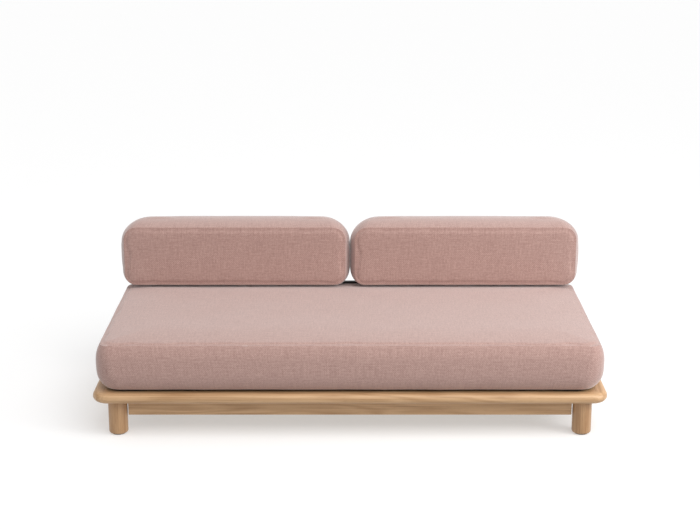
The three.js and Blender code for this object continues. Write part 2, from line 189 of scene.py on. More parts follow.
def coons_grid(sides):
    """Points that fill an outline of four sides, as a grid that meets it point for point."""
    closed = [np.vstack([side, sides[(k + 1) % 4][:1]]) for k, side in enumerate(sides)]
    bottom, right, top, left = closed[0], closed[1], closed[2][::-1], closed[3][::-1]
    s = np.linspace(0, 1, len(bottom))[:, None, None]
    t = np.linspace(0, 1, len(left))[None, :, None]
    ruled = (1 - t) * bottom[:, None] + t * top[:, None] + (1 - s) * left[None] + s * right[None]
    low = (1 - s) * bottom[0] + s * bottom[-1]
    high = (1 - s) * top[0] + s * top[-1]
    return ruled - (1 - t) * low - t * high


def grid_indices(first_ring, count_u, count_v, inner_start):
    """The vertex number at each place of a panel's grid, whose border is a ring of the loft."""
    grid = np.empty((count_u, count_v), int)
    u, v = count_u - 1, count_v - 1
    ring = first_ring + np.arange(2 * (u + v))
    grid[:-1, 0] = ring[:u]
    grid[-1, :-1] = ring[u : u + v]
    grid[1:, -1] = ring[u + v : 2 * u + v][::-1]
    grid[0, 1:] = ring[2 * u + v :][::-1]
    grid[1:-1, 1:-1] = inner_start + np.arange((u - 1) * (v - 1)).reshape(u - 1, v - 1)
    return grid


def edge_distance(points, half, radii, inset):
    """How far inside a rounded rectangle each point lies."""
    left, lower = points[:, 0] < 0, points[:, 1] < 0
    corner = np.select([left & lower, ~left & lower, ~left], radii[:3], radii[3])
    beyond = np.abs(points) - (np.array(half) - corner[:, None])
    outside = np.linalg.norm(np.maximum(beyond, 0), axis=1) + np.minimum(beyond.max(axis=1), 0)
    return corner - inset - outside


class Block:
    """A boxed cushion about the origin: a front and a rear panel, and a band between them that bulges.

    Coordinates are (u, v, n), with n along the thickness. Each seam is a ring where a panel meets the band.
    """

    SEAM_RINGS = [9 * MM, 4 * MM, 1.6 * MM]
    GROOVE = 0.8 * MM
    GROOVE_WIDTH = 1.8 * MM
    PUCKER = 0.9 * MM
    PUCKER_WIDTH = 22 * MM
    PUCKER_LENGTH = 30 * MM
    PUCKER_SEED = 9

    def __init__(self, half, radii, seams, crowns, powers, step, rear_rounding):
        self.half, self.radii, self.seams, self.crowns = half, np.array(radii), seams, crowns
        self.rear_rounding = np.array(rear_rounding)
        corner = np.mean(radii) * QUARTER / 2
        straights = [2 * (size - np.mean(radii)) for size in half]
        self.steps = [max(2, round(length / step)) for length in (*straights, corner)]
        self.profile = self._profile(powers, step)
        self._loft()

    def _profile(self, powers, step):
        """(inset, n, part, extra corner radius) of each ring, from the front panel to the rear one."""
        (front_inset, front_n), (rear_inset, rear_n) = self.seams
        middle, reach = (front_n + rear_n) / 2, (front_n - rear_n) / 2
        rings = [(front_inset + d, front_n + self.panel_rise(0, d), 0, 0.0) for d in self.SEAM_RINGS]
        rings.append((front_inset, front_n, 0, 0.0))
        near = [d / reach for d in self.SEAM_RINGS[::-1]]
        count = max(6, round(2 * reach / step))
        inner = np.linspace(1 - near[-1], near[-1] - 1, count)[1:-1]
        for t in [1 - d for d in near] + list(inner) + [d - 1 for d in near[::-1]]:
            inset = front_inset * t ** powers[0] if t > 0 else rear_inset * (-t) ** powers[1]
            rings.append((inset, middle + reach * t, 1, self.rear_rounding * (1 - t) / 2))
        rounding = self.rear_rounding
        rings.append((rear_inset, rear_n, 2, rounding))
        for d in self.SEAM_RINGS[::-1]:
            rings.append((rear_inset + d, rear_n - self.panel_rise(1, d), 2, rounding))
        return rings

    def panel_rise(self, panel, distance):
        """How far a panel stands out past its seam, at a distance in from the seam."""
        rise, run = self.crowns[panel]
        return rise * (1 - (1 - np.minimum(distance, run) / run) ** 2)

    def _loft(self):
        rings, lengths = [], [0.0]
        for number, (inset, n, _, rounding) in enumerate(self.profile):
            flat = np.vstack(outline_sides(self.half, self.radii + rounding, inset, self.steps))
            rings.append(np.column_stack([flat, np.full(len(flat), n)]))
            if number:
                before = self.profile[number - 1]
                lengths.append(lengths[-1] + math.hypot(inset - before[0], n - before[1]))
        count = len(rings[0])
        widest = np.vstack(outline_sides(self.half, self.radii, 0, self.steps))
        spacing = np.linalg.norm(np.diff(widest, axis=0, append=widest[:1]), axis=1)
        around = np.concatenate([[0], np.cumsum(spacing)])
        points = [*rings]
        faces, uvs = [], []
        here, after = np.arange(count), (np.arange(count) + 1) % count
        for number in range(len(rings) - 1):
            a, b = number * count, (number + 1) * count
            quads = np.stack([a + here, b + here, b + after, a + after], 1)
            faces.append(quads)
            in_band = self.profile[number][2] == 1 or self.profile[number + 1][2] == 1
            if in_band:
                top, low = lengths[number], lengths[number + 1]
                across = [(around[:-1], top), (around[:-1], low), (around[1:], low), (around[1:], top)]
                uvs.append(np.stack([np.column_stack([s, np.full(count, y)]) for s, y in across], 1))
            else:
                flat = np.vstack(rings)[:, :2]
                uvs.append(flat[quads])
        start = len(rings) * count
        for panel, ring_number in ((0, 0), (1, len(rings) - 1)):
            inset, _, _, rounding = self.profile[ring_number]
            grid = coons_grid(outline_sides(self.half, self.radii + rounding, inset, self.steps))
            inner = grid[1:-1, 1:-1].reshape(-1, 2)
            seam_inset, seam_n = self.seams[panel]
            distance = edge_distance(inner, self.half, self.radii + rounding, seam_inset)
            sign = 1 if panel == 0 else -1
            height = seam_n + sign * self.panel_rise(panel, distance)
            points.append(np.column_stack([inner, height]))
            numbers = grid_indices(ring_number * count, *grid.shape[:2], start)
            start += len(inner)
            quads = np.stack([numbers[:-1, :-1], numbers[1:, :-1], numbers[1:, 1:], numbers[:-1, 1:]], -1)
            quads = quads.reshape(-1, 4)[:, ::sign]
            faces.append(quads)
            uvs.append(np.vstack(points)[:, :2][quads])
        self.points = np.vstack(points)
        self.faces = np.vstack(faces)
        self.uvs = np.vstack(uvs)

    def seam_offset(self):
        """How far the seams draw each point in: a groove, and the uneven pull of the stitches."""
        depth = np.zeros(len(self.points))
        pull = 0.5 + unevenness(self.points, self.PUCKER_LENGTH, 0.5, self.PUCKER_SEED)
        for (inset, seam_n), rounding in zip(self.seams, (0.0, self.rear_rounding)):
            beside = edge_distance(self.points[:, :2], self.half, self.radii + rounding, inset)
            away = np.hypot(beside, self.points[:, 2] - seam_n)
            depth += self.GROOVE * np.exp(-((away / self.GROOVE_WIDTH) ** 2))
            depth += self.PUCKER * pull * np.exp(-((away / self.PUCKER_WIDTH) ** 2))
        return depth


def vertex_normals(points, faces):
    corners = points[faces]
    across = np.cross(corners[:, 2] - corners[:, 0], corners[:, 3] - corners[:, 1])
    normals = np.zeros_like(points)
    for k in range(4):
        np.add.at(normals, faces[:, k], across)
    return normals / np.maximum(np.linalg.norm(normals, axis=1, keepdims=True), 1e-12)


PRESSURE = 4.0
SIMULATED_FRAMES = 20
NEAREST_POINTS = 12  # of the simulated skin, that move one point of the finished cover
WANDER_LENGTH = 160 * MM
WANDER_DEPTH = 1.2 * MM


def blown_up(points, faces, slack, cap, voxel):
    """The points moved as a cloth skin over them would be by the padding pressing outwards.

    A copy, smaller by the slack, is remeshed and simulated. Each point then goes out as far as the cloth
    near it, up to the cap.
    """
    scene = bpy.context.scene
    normals = vertex_normals(points, faces)
    start = points - slack * normals
    skin = mesh_object("trial_skin", start, faces)
    remesh = skin.modifiers.new("remesh", "REMESH")
    remesh.mode = "VOXEL"
    remesh.voxel_size = voxel
    apply_modifiers(skin)
    rest = coordinates(skin.data)
    cloth = skin.modifiers.new("cloth", "CLOTH")
    cloth.settings.use_pressure = True
    cloth.settings.uniform_pressure_force = PRESSURE
    cloth.settings.effector_weights.gravity = 0
    for number in range(1, SIMULATED_FRAMES + 1):
        scene.frame_set(number)
    moved = coordinates(evaluated_mesh(skin)) - rest
    scene.frame_set(1)
    drop(skin)
    tree = KDTree(len(rest))
    for number, place in enumerate(rest):
        tree.insert(place, number)
    tree.balance()
    outwards = np.empty(len(start))
    for number, place in enumerate(start):
        near = tree.find_n(place, NEAREST_POINTS)
        weights = np.array([1 / (distance + voxel) for _, _, distance in near])
        mean = weights @ moved[[index for _, index, _ in near]] / weights.sum()
        outwards[number] = mean @ normals[number]
    swell = cap * np.tanh(np.maximum(outwards, 0) / cap)
    return start + normals * swell[:, None]


def unevenness(points, size, depth, seed):
    """A slow wander of the surface, the same each time, as hand-filled padding has."""
    shift = Vector((seed * 7.3, seed * 3.1, seed * 5.7))
    return np.array([depth * noise.noise(Vector(p) / size + shift) for p in points])


def padded_piece(name, block, place, slack, cap, voxel, seed):
    """The block as a fabric object: its cloth blown up, then its seams drawn in, and put in place."""
    points = place(blown_up(block.points, block.faces, slack, cap, voxel))
    normals = vertex_normals(points, block.faces)
    points += normals * unevenness(points, WANDER_LENGTH, WANDER_DEPTH, seed)[:, None]
    points -= normals * block.seam_offset()[:, None]
    return mesh_object(name, points, block.faces, block.uvs)


# ---------------------------------------------------------------- materials


class Look:
    """A node material with short calls for the nodes that it needs."""

    def __init__(self, name, **sockets):
        self.material = bpy.data.materials.new(name)
        self.material.use_nodes = True
        self.tree = self.material.node_tree
        self.surface = self.tree.nodes["Principled BSDF"]
        for socket, value in sockets.items():
            self.surface.inputs[socket.replace("_", " ")].default_value = value

    def plug(self, value, socket):
        if isinstance(value, bpy.types.NodeSocket):
            self.tree.links.new(value, socket)
        else:
            socket.default_value = value

    def node(self, kind, inputs=(), output=0, **settings):
        made = self.tree.nodes.new("ShaderNode" + kind)
        for key, value in settings.items():
            setattr(made, key, value)
        for key, value in dict(inputs).items():
            self.plug(value, made.inputs[key])
        return made.outputs[output]

    def math(self, operation, a, b=0.0):
        return self.node("Math", {0: a, 1: b}, operation=operation)

    def noise(self, vector, scale, detail=2.0, roughness=0.5):
        inputs = {"Vector": vector, "Scale": scale, "Detail": detail, "Roughness": roughness}
        return self.node("TexNoise", inputs)

    def stretched(self, vector, scale, location=(0, 0, 0)):
        return self.node("Mapping", {"Vector": vector, "Scale": scale, "Location": location})

    def ramp(self, value, stops):
        made = self.tree.nodes.new("ShaderNodeValToRGB")
        elements = made.color_ramp.elements
        for element, (place, shade) in zip(elements, (stops[0], stops[-1])):
            element.position, element.color = place, (*shade, 1)
        for place, shade in stops[1:-1]:
            elements.new(place).color = (*shade, 1)
        self.plug(value, made.inputs[0])
        return made.outputs[0]

    def blend(self, factor, a, b, mode="MIX"):
        made = self.tree.nodes.new("ShaderNodeMix")
        made.data_type, made.blend_type = "RGBA", mode
        self.plug(factor, made.inputs["Factor"])
        self.plug(a if isinstance(a, bpy.types.NodeSocket) else (*a, 1), made.inputs[6])
        self.plug(b if isinstance(b, bpy.types.NodeSocket) else (*b, 1), made.inputs[7])
        return made.outputs[2]

    def bump(self, height, distance, strength):
        inputs = {"Height": height, "Distance": distance, "Strength": strength}
        self.finish("Normal", self.node("Bump", inputs))

    def finish(self, socket, value):
        self.plug(value, self.surface.inputs[socket])


def woven_cloth(name, light, dark, yarn=4.3 * MM):
    """A coarse plain weave in slubby yarn, laid out by the cloth's own coordinates."""
    look = Look(name, Roughness=0.92, Sheen_Weight=0.8, Sheen_Roughness=0.45, IOR=1.42)
    look.surface.inputs["Sheen Tint"].default_value = (1.0, 0.97, 0.965, 1)
    cloth = look.node("UVMap", uv_map="cloth")
    wander = look.noise(cloth, 9.0)
    u = look.node("SeparateXYZ", {0: cloth}, output=0)
    v = look.node("SeparateXYZ", {0: cloth}, output=1)
    wave = []
    for along in (u, v):
        turns = look.math("MULTIPLY", along, math.pi / yarn)
        loose = look.math("MULTIPLY", wander, 3.0)
        wave.append(look.math("SINE", look.math("ADD", turns, loose)))
    crossing = look.math("MULTIPLY", wave[0], wave[1])
    over = look.math("MULTIPLY_ADD", crossing, 0.5)
    over.node.inputs[2].default_value = 0.5
    under = look.math("SUBTRACT", 1.0, over)
    warp = look.math("MULTIPLY", look.math("ABSOLUTE", wave[0]), over)
    weft = look.math("MULTIPLY", look.math("ABSOLUTE", wave[1]), under)
    height = look.math("MAXIMUM", warp, weft)
    warp_slub = look.noise(look.stretched(cloth, (260, 14, 1)), 1.0, 3.0, 0.6)
    weft_slub = look.noise(look.stretched(cloth, (14, 260, 1)), 1.0, 3.0, 0.6)
    slub = look.math("MULTIPLY", look.math("ADD", warp_slub, weft_slub), 0.5)
    mottle = look.noise(cloth, 130.0, 3.0, 0.6)
    tone = look.math("ADD", look.math("MULTIPLY", slub, 0.6), look.math("MULTIPLY", mottle, 0.4))
    shade = look.ramp(tone, [(0.4, dark), (0.6, light)])
    # Painted shade: the cloth's colour darkens where the yarns dip between crossings, standing for the shade
    # in the weave's hollows.
    depth = look.ramp(height, [(0.0, (0.5, 0.47, 0.47)), (0.8, (1, 1, 1))])
    thread = look.ramp(over, [(0.2, (0.84, 0.82, 0.82)), (0.8, (1, 1, 1))])
    shade = look.blend(1.0, shade, thread, "MULTIPLY")
    look.finish("Base Color", look.blend(1.0, shade, depth, "MULTIPLY"))
    look.bump(look.math("ADD", height, look.math("MULTIPLY", slub, 0.8)), 0.5 * MM, 0.55)
    return look.material


def timber(name, grain, light, dark, pores=0.5, roughness=0.5):
    """Wood with its grain along one axis: slow figure, fine streaks and short dark pores."""
    look = Look(name, Roughness=roughness, IOR=1.45, Coat_Weight=0.35, Coat_Roughness=0.3)
    place = look.node("TexCoord", output="Object")
    piece = look.node("ObjectInfo", output="Random")
    shift = look.node("CombineXYZ", {axis: look.math("MULTIPLY", piece, 3.0 + axis) for axis in range(3)})
    board = look.node("VectorMath", {0: place, 1: shift}, operation="ADD")

    def across(fine, along):
        return [along if axis == grain else fine for axis in "XYZ"]

    figure = look.noise(look.stretched(board, across(7.0, 0.55)), 1.0, 3.0, 0.55)
    rings = look.math("SINE", look.math("MULTIPLY", figure, 95.0))
    streaks = look.noise(look.stretched(board, across(230.0, 2.2)), 1.0, 4.0, 0.6)
    fleck = look.noise(look.stretched(board, across(900.0, 28.0)), 1.0, 1.0)
    tone = look.math("ADD", look.math("MULTIPLY", rings, 0.09), look.math("MULTIPLY", streaks, 0.75))
    tone = look.math("ADD", tone, look.math("MULTIPLY", figure, 0.3))
    middle = tuple((a + b) / 2 for a, b in zip(light, dark))
    shade = look.ramp(tone, [(0.3, dark), (0.5, middle), (0.72, light)])
    pore = look.ramp(fleck, [(0.62, (1, 1, 1)), (0.74, (1 - pores * 0.5, 1 - pores * 0.6, 1 - pores * 0.7))])
    look.finish("Base Color", look.blend(1.0, shade, pore, "MULTIPLY"))
    look.finish("Roughness", look.node("MapRange", {0: streaks, 3: roughness - 0.08, 4: roughness + 0.12}))
    look.bump(look.math("SUBTRACT", streaks, fleck), 0.15 * MM, 0.25)
    return look.material


def speckled(name, light, dark, scale, bump, **sockets):
    """Fine-grained stuff, such as powder coat, felt or foam."""
    look = Look(name, **sockets)
    place = look.node("TexCoord", output="Object")
    grain = look.noise(place, scale, 3.0, 0.6)
    worn = look.noise(place, scale / 40, 2.0)
    tone = look.math("ADD", look.math("MULTIPLY", grain, 0.6), look.math("MULTIPLY", worn, 0.4))
    look.finish("Base Color", look.ramp(tone, [(0.35, dark), (0.65, light)]))
    look.bump(grain, bump, 0.5)
    return look.material


OAK_LIGHT, OAK_DARK = (0.665, 0.425, 0.23), (0.4, 0.22, 0.098)
# The legs' oak is a darker copy of the rails' oak: painted shade, for the shade the legs stand in under the
# frame.
OAK_LEG_PAINTED_SHADE_LIGHT, OAK_LEG_PAINTED_SHADE_DARK = (0.57, 0.345, 0.18), (0.35, 0.18, 0.075)
BIRCH_LIGHT, BIRCH_DARK = (0.74, 0.6, 0.41), (0.6, 0.45, 0.28)
ROSE_LIGHT, ROSE_DARK = (0.7, 0.47, 0.41), (0.51, 0.315, 0.275)
TAPE_LIGHT, TAPE_DARK = (0.5, 0.35, 0.32), (0.38, 0.25, 0.225)
BLACK_LIGHT, BLACK_DARK = (0.02, 0.02, 0.022), (0.008, 0.008, 0.009)
# The black underside cloth: real under the mattress, painted shadow where its band rises up the sides.
UNDERSIDE_SHADOW_LIGHT, UNDERSIDE_SHADOW_DARK = (0.012, 0.01, 0.01), (0.005, 0.004, 0.004)
ZINC_LIGHT, ZINC_DARK = (0.62, 0.63, 0.64), (0.5, 0.51, 0.53)
FELT_LIGHT, FELT_DARK = (0.09, 0.08, 0.075), (0.05, 0.045, 0.04)
NYLON_LIGHT, NYLON_DARK = (0.035, 0.033, 0.033), (0.02, 0.019, 0.019)
TAPE_YARN = 0.6 * MM
OAK = {grain: timber(f"oak_{grain}", grain, OAK_LIGHT, OAK_DARK) for grain in "XY"}
OAK_LEG_PAINTED_SHADE = timber("turned_oak_painted_shade", "Z", OAK_LEG_PAINTED_SHADE_LIGHT, OAK_LEG_PAINTED_SHADE_DARK)
BIRCH = {grain: timber(f"birch_{grain}", grain, BIRCH_LIGHT, BIRCH_DARK, 0.15, 0.6) for grain in "XY"}
CLOTH = woven_cloth("rose_cloth", ROSE_LIGHT, ROSE_DARK)
TAPE = woven_cloth("zip_tape", TAPE_LIGHT, TAPE_DARK, TAPE_YARN)
POWDER_COAT = speckled("black_powder_coat", BLACK_LIGHT, BLACK_DARK, 1500, 0.05 * MM, Roughness=0.5)
ZINC = speckled("zinc_plate", ZINC_LIGHT, ZINC_DARK, 400, 0.01 * MM, Metallic=1.0, Roughness=0.34)
UNDERSIDE_AND_SHADOW_CLOTH = speckled("underside_cloth_and_painted_shadow", UNDERSIDE_SHADOW_LIGHT, UNDERSIDE_SHADOW_DARK, 700, 0.2 * MM, Roughness=0.95)
FELT = speckled("grey_felt", FELT_LIGHT, FELT_DARK, 900, 0.4 * MM, Roughness=0.98)
NYLON = speckled("black_nylon", NYLON_LIGHT, NYLON_DARK, 900, 0.03 * MM, Roughness=0.42)


def clad(made, material):
    made.data.materials.clear()
    made.data.materials.append(material)
    return made


# ---------------------------------------------------------------- hard parts


WELD_DISTANCE = 0.01 * MM
FLAT_ANGLE = math.radians(0.5)
SHARP_ANGLE = math.radians(35)


def smoothed(node, material):
    """A copy of a CAD node with its rounded faces shaded as one surface, which stands for the node."""
    body = frame["nodes"][node]["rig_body"]
    source = frame["nodes"][node].data
    form = bmesh.new()
    form.from_mesh(source)
    bmesh.ops.remove_doubles(form, verts=form.verts[:], dist=WELD_DISTANCE)
    bmesh.ops.dissolve_limit(form, angle_limit=FLAT_ANGLE, verts=form.verts[:], edges=form.edges[:])
    for edge in form.edges:
        edge.smooth = edge.is_manifold and edge.calc_face_angle() < SHARP_ANGLE
    for face in form.faces:
        face.smooth = True
    made = mesh_object(f"{node}_finished", [], [])
    form.to_mesh(made.data)
    form.free()
    clad(made, material)
    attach(made, body)
    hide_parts(node)
    return made


def finish_hard_parts():
    nodes = frame["nodes"]
    for node in RAILS:
        smoothed(node, OAK["X" if node in ("front_rail", "rear_rail") else "Y"])
    for corner in CORNERS:
        # The legs get the darker oak, which paints in their shade.
        smoothed(f"leg_{corner}", OAK_LEG_PAINTED_SHADE)
        clad(nodes[f"leg_bolt_{corner}"], ZINC)
        clad(nodes[f"glide_{corner}"], FELT)
        clad(nodes[f"corner_tenon_{corner}"], BIRCH["X"])
    for node in ("front_apron", "rear_apron"):
        clad(nodes[node], OAK["X"])
    for node in ("left_apron", "right_apron"):
        clad(nodes[node], OAK["Y"])
    for node in ("front_ledger", "rear_ledger"):
        clad(nodes[node], BIRCH["X"])
    for node in SLATS:
        clad(nodes[node], BIRCH["Y"])
    for number, node in enumerate(UPRIGHTS, 1):
        smoothed(node, POWDER_COAT)
        clad(nodes[f"upright_screw_{number}"], ZINC)
    clad(nodes["back_bar"], POWDER_COAT)
    for side in SIDES:
        clad(nodes[f"backrest_{side}_board"], BIRCH["X"])
        for number in (1, 2):
            clad(nodes[f"backrest_{side}_sleeve_{number}"], ZINC)


SCREW_HEAD_RADIUS = 4 * MM
SCREW_CORNERS = 18
# (distance from the axis, height) of each ring, in head radii, from the recess's floor out to the head's foot
SCREW_RINGS = [(0.36, 0.25), (0.4, 0.55), (0.8, 0.5), (1.0, 0.15), (1.0, -0.3)]


def screw_heads(name, places):
    """Pan-head screws with a round recess, each at a place and facing a way, as one object."""
    radius, corners = SCREW_HEAD_RADIUS, SCREW_CORNERS
    points, faces = [], []
    for place, facing in places:
        turn = Vector(facing).to_track_quat("Z", "X")
        first = len(points)
        for out, height in SCREW_RINGS:
            for k in range(corners):
                angle = 4 * QUARTER * k / corners
                local = Vector((out * math.cos(angle), out * math.sin(angle), height)) * radius
                points.append(Vector(place) + turn @ local)
        last = first + (len(SCREW_RINGS) - 1) * corners
        for ring in range(len(SCREW_RINGS) - 1):
            for k in range(corners):
                a, b = first + ring * corners + k, first + ring * corners + (k + 1) % corners
                faces.append((a, a + corners, b + corners, b)[::-1])
        faces.append(tuple(range(first, first + corners)))
        faces.append(tuple(range(last, last + corners))[::-1])
    made = mesh_object(name, points, faces)
    clad(made, ZINC)
    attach(made, "bed_frame")
    return made


SLAT_SCREW_FROM_END = 12 * MM
LEDGER_SCREW_FROM_END = 60 * MM
LEDGER_SCREWS = 7
PLUG_THICKNESS = 3 * MM


def frame_details():
    """The screws that hold the slats and ledgers, and the plastic plugs in the ends of the back bar."""
    places = []
    for node in SLATS:
        low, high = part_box(node)
        for y in (low.y + SLAT_SCREW_FROM_END, high.y - SLAT_SCREW_FROM_END):
            places.append((((low.x + high.x) / 2, y, high.z), (0, 0, 1)))
    screw_heads("slat_screws", places)
    places = []
    for node, facing in (("front_ledger", 1), ("rear_ledger", -1)):
        low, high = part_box(node)
        face = high.y if facing > 0 else low.y
        for x in np.linspace(low.x + LEDGER_SCREW_FROM_END, high.x - LEDGER_SCREW_FROM_END, LEDGER_SCREWS):
            places.append(((x, face, (low.z + high.z) / 2), (0, facing, 0)))
    screw_heads("ledger_screws", places)
    low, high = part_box("back_bar")
    plugs = []
    for x, sign in ((low.x, -1), (high.x, 1)):
        ends = sorted((x, x + sign * PLUG_THICKNESS))
        plugs.append(box_object("plug", (ends[0], low.y, low.z), (ends[1], high.y, high.z), 1 * MM))
    plug = clad(joined("back_bar_plugs", plugs), NYLON)
    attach(plug, "bed_frame")


# ---------------------------------------------------------------- upholstery


SLACK = 2 * MM  # how much smaller a cover starts before its padding swells it
SWELL_CAP = 4 * MM

MATTRESS_CORNER = 62 * MM
MATTRESS_VOXEL = 12 * MM
MATTRESS_SEED = 1
SHADOW_BAND_HEIGHT = 9.5 * MM  # how far up the sides the underside's cloth is folded, a black band that paints the shadow line at the mattress's foot
ABOVE_RAILS = 0.6 * MM  # the least height of the mattress's underside over the rails
GIVE_DEPTH = 12 * MM  # how far the mattress may crown in front of the back cushions
GIVE_START, GIVE_LENGTH = 40 * MM, 60 * MM  # where that crown starts to die out, and over what length

CUSHION_LOW_CORNER, CUSHION_HIGH_CORNER = 66 * MM, 76 * MM
CUSHION_VOXEL = 8 * MM
CUSHION_DROOP = 9 * MM
CENTRE_CLEARANCE = 0.15 * MM  # from the plane between the two cushions
FIRST_CUSHION_SEED = 2

POCKET_ROOM = 1.2 * MM
POCKET_PAST_UNDERSIDE = 12 * MM
CUT_EDGE_ANGLE = math.radians(50)
BINDING_WIDTH, BINDING_THICKNESS = 7 * MM, 0.9 * MM
BINDING_CLEARANCE = 1.5 * MM


def mattress():
    """The mattress: its top edge a crisp seam, its sides tucked in below, non-slip cloth under it that paints
    a shadow line up the sides.
    """
    low, high = MATTRESS_LOW, MATTRESS_HIGH
    middle = (low + high) / 2
    half = ((high.x - low.x) / 2 - 3 * MM, (high.y - low.y) / 2 + 4 * MM)
    top, base = high.z - middle.z, low.z - middle.z
    block = Block(
        half=half,
        radii=[MATTRESS_CORNER] * 4,
        seams=[(21 * MM, top - 10 * MM), (38 * MM, base + 4 * MM)],
        crowns=[(12 * MM, 190 * MM), (5 * MM, 40 * MM)],
        powers=(2.7, 3.2),
        step=10 * MM,
        rear_rounding=[34 * MM] * 4,
    )

    def lie(points):
        return points + np.array(middle)

    piece = padded_piece("mattress_upholstery", block, lie, SLACK, SWELL_CAP, MATTRESS_VOXEL, MATTRESS_SEED)
    flatten_between(piece, RAIL_TOP + ABOVE_RAILS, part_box("backrest_left_cover")[0], high.z)
    clad(piece, CLOTH)
    piece.data.materials.append(UNDERSIDE_AND_SHADOW_CLOTH)
    # Black cloth on faces near the underside: the underside itself is real non-slip cloth, the band up the
    # sides is a painted shadow line.
    for face in piece.data.polygons:
        face.material_index = int(face.center.z < low.z + SHADOW_BAND_HEIGHT)
    return piece


def flatten_between(piece, floor, cushions, under):
    """Rests the mattress on the slats, and lets it give a little under the back cushions."""
    points = coordinates(piece.data)
    points[:, 2] = np.maximum(points[:, 2], floor)
    give = np.clip((points[:, 1] - (cushions.y - GIVE_START)) / GIVE_LENGTH, 0, 1)
    limit = under + (1 - give) * GIVE_DEPTH
    points[:, 2] = np.minimum(points[:, 2], limit)
    piece.data.vertices.foreach_set("co", points.astype(np.float32).ravel())
    piece.data.update()


def back_cushion(side):
    """One back cushion, with a pocket in its underside for each steel sleeve."""
    name = f"backrest_{side}"
    outwards = -1 if side == "left" else 1
    low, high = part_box(f"{name}_cover")
    middle = np.array((low + high) / 2) - np.array([outwards * 3 * MM, 0, 3 * MM])
    thickness = (high.y - low.y) / 2
    block = Block(
        half=((high.x - low.x) / 2 + 0.5 * MM, (high.z - low.z) / 2 + 5 * MM),
        radii=[CUSHION_LOW_CORNER] * 2 + [CUSHION_HIGH_CORNER] * 2,
        seams=[(20 * MM, thickness - 3 * MM), (20 * MM, 5 * MM - thickness)],
        crowns=[(1.5 * MM, 70 * MM), (4 * MM, 70 * MM)],
        powers=(2.1, 2.1),
        step=8 * MM,
        rear_rounding=[16 * MM, 16 * MM, 62 * MM, 62 * MM],
    )

    def stand(points):
        """Upright, with the top's rear edge lower towards its ends."""
        u, v, n = points.T
        rearward = np.clip((1 - n / thickness) / 2, 0, 1)
        droop = CUSHION_DROOP * (np.abs(u) / block.half[0]) ** 6 * rearward * (v > 0)
        return middle + np.column_stack([u, -n, v - droop * np.clip(v / block.half[1], 0, 1)])

    seed = FIRST_CUSHION_SEED + SIDES.index(side)
    piece = padded_piece(f"{name}_upholstery", block, stand, SLACK, SWELL_CAP, CUSHION_VOXEL, seed)
    points = coordinates(piece.data)
    points[:, 2] = np.maximum(points[:, 2], low.z)
    points[:, 0] = outwards * np.maximum(outwards * points[:, 0], CENTRE_CLEARANCE)
    piece.data.vertices.foreach_set("co", points.astype(np.float32).ravel())
    clad(piece, CLOTH)
    pockets = [pocket(f"{name}_sleeve_{number}") for number in (1, 2)]
    return cut_from(piece, pockets), pocket_bindings(name, low.z)


def pocket(sleeve):
    """The hollow in a cushion's padding that a steel sleeve sits in, open at the underside."""
    low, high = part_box(sleeve)
    room = Vector((1, 1, 1)) * POCKET_ROOM
    return box_object("pocket", low - room - Vector((0, 0, POCKET_PAST_UNDERSIDE)), high + room)


def cut_from(piece, cutters):
    """The piece with the cutters taken out of it, its cut edges left crisp."""
    for cutter in cutters:
        cutter.data.uv_layers.new(name="cloth")
        clad(cutter, CLOTH)
        difference = piece.modifiers.new("cut", "BOOLEAN")
        difference.operation, difference.solver, difference.object = "DIFFERENCE", "EXACT", cutter
    apply_modifiers(piece)
    for cutter in cutters:
        drop(cutter)
    form = bmesh.new()
    form.from_mesh(piece.data)
    for edge in form.edges:
        edge.smooth = edge.is_manifold and edge.calc_face_angle() < CUT_EDGE_ANGLE
    form.to_mesh(piece.data)
    form.free()
    return piece


def pocket_bindings(name, base):
    """A folded strip of tape round the mouth of each pocket, sewn to the underside."""
    strips = []
    width, under = BINDING_WIDTH, base - 0.5 * MM
    over = under + BINDING_THICKNESS
    for number in (1, 2):
        low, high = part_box(f"{name}_sleeve_{number}")
        x0, x1 = low.x - BINDING_CLEARANCE, high.x + BINDING_CLEARANCE
        y0, y1 = low.y - BINDING_CLEARANCE, high.y + BINDING_CLEARANCE
        for a, b in (
            ((x0 - width, y0 - width), (x1 + width, y0)),
            ((x0 - width, y1), (x1 + width, y1 + width)),
            ((x0 - width, y0), (x0, y1)),
            ((x1, y0), (x1 + width, y1)),
        ):
            strips.append(box_object("strip", (*a, under), (*b, over), 0.25 * MM))
    return clad(joined(f"{name}_pocket_bindings", strips), TAPE)


# (distance across, height) in millimetres of the closed tapes, thin at the edges and raised in the middle
ZIP_PROFILE = [
    (-9, 0.1), (-8.6, 0.7), (-2.2, 0.9), (-1.6, 1.5), (0, 1.7), (1.6, 1.5), (2.2, 0.9), (8.6, 0.7), (9, 0.1)
]
ZIP_REACH = 60 * MM  # how far outside the piece the rays that find its surface start
ZIP_STATION_SPACING = 12 * MM
TOOTH_PITCH = 3.2 * MM
TEETH_PER_RAY = 4
TOOTH_HALF_SIZE = Vector((0.55, 1.0, 1.0)) * MM
TOOTH_LIFT, TOOTH_OFFSET = 1.9 * MM, 0.8 * MM
# (length, width, height, lift, shift along the zip) in millimetres of the slider and its pull
SLIDER_PARTS = ((10, 7, 2.6, 2.4, 0), (24, 4.4, 1.0, 4.4, -14))
SLIDER_FROM_END = 14 * MM


